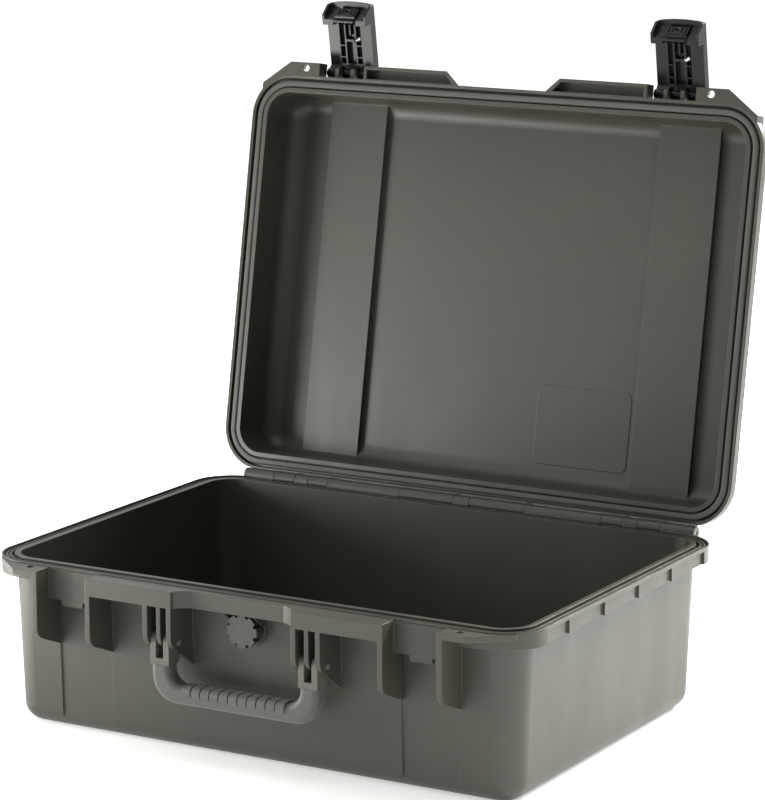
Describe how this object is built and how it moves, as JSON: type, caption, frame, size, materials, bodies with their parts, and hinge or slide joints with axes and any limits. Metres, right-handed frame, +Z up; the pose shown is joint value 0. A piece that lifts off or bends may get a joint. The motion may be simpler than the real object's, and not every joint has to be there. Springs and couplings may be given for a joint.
{
  "type": "hard equipment case",
  "caption": "Hinged hard plastic carrying case, shown open: deep base, shallow lid with rim seal, press latches, drop handle, pressure valve and padlock plates.",
  "frame": {"origin": "centre of the base's underside, below the middle of the opening", "axes": "+Z up out of the base, +Y towards the hinge, +X along the hinge to the right of someone facing the handle"},
  "size_m": [0.5416, 0.5278, 0.6085],
  "materials": {
    "shell": "satin moulded",
    "latch": "satin moulded",
    "valve": "satin moulded",
    "handle_core": "satin moulded",
    "handle_cover": "soft matte",
    "seal": "matte",
    "membrane": "woven filter",
    "steel": "plain"
  },
  "bodies": {
    "base": {"base_shell": "shell", "hinge_pin_left": "steel", "hinge_pin_right": "steel", "handle_pin_left": "steel", "handle_pin_right": "steel", "valve_body": "valve", "valve_cap": "valve", "valve_seal": "seal", "valve_nut": "valve", "valve_membrane": "membrane"},
    "lid": {"lid_shell": "shell", "lid_seal": "seal", "latch_left_pin": "steel", "latch_right_pin": "steel"},
    "latch_left": {"latch_left_lever": "latch", "latch_left_spring": "steel"},
    "latch_right": {"latch_right_lever": "latch", "latch_right_spring": "steel"},
    "button_left": {"latch_left_button": "latch"},
    "button_right": {"latch_right_button": "latch"},
    "handle": {"handle_frame": "handle_core", "handle_grip": "handle_cover"}
  },
  "joints": [
    {"name": "lid_hinge", "type": "hinge", "parent": "base", "child": "lid", "pos_m": [0, 0.1976, 0.1532], "axis": [1, 0, 0], "range_deg": [0, 100.3]},
    {"name": "handle_pivot", "type": "hinge", "parent": "base", "child": "handle", "pos_m": [0, -0.2, 0.105], "axis": [-1, 0, 0], "range_deg": [0, 100]},
    {"name": "latch_left_pivot", "type": "hinge", "parent": "lid", "child": "latch_left", "pos_m": [-0.17475, 0.28574, 0.53865], "axis": [1, 0, 0], "range_deg": [-30, 70.5]},
    {"name": "latch_left_button_slide", "type": "slide", "parent": "latch_left", "child": "button_left", "axis": [0, 0.9871, 0.1599], "range_m": [0, 0.0035], "stiffness_N_per_m": 400, "deforming": ["latch_left_spring"]},
    {"name": "latch_right_pivot", "type": "hinge", "parent": "lid", "child": "latch_right", "pos_m": [0.17475, 0.28574, 0.53865], "axis": [1, 0, 0], "range_deg": [-30, 70.5]},
    {"name": "latch_right_button_slide", "type": "slide", "parent": "latch_right", "child": "button_right", "axis": [0, 0.9871, 0.1599], "range_m": [0, 0.0035], "stiffness_N_per_m": 400, "deforming": ["latch_right_spring"]}
  ]
}
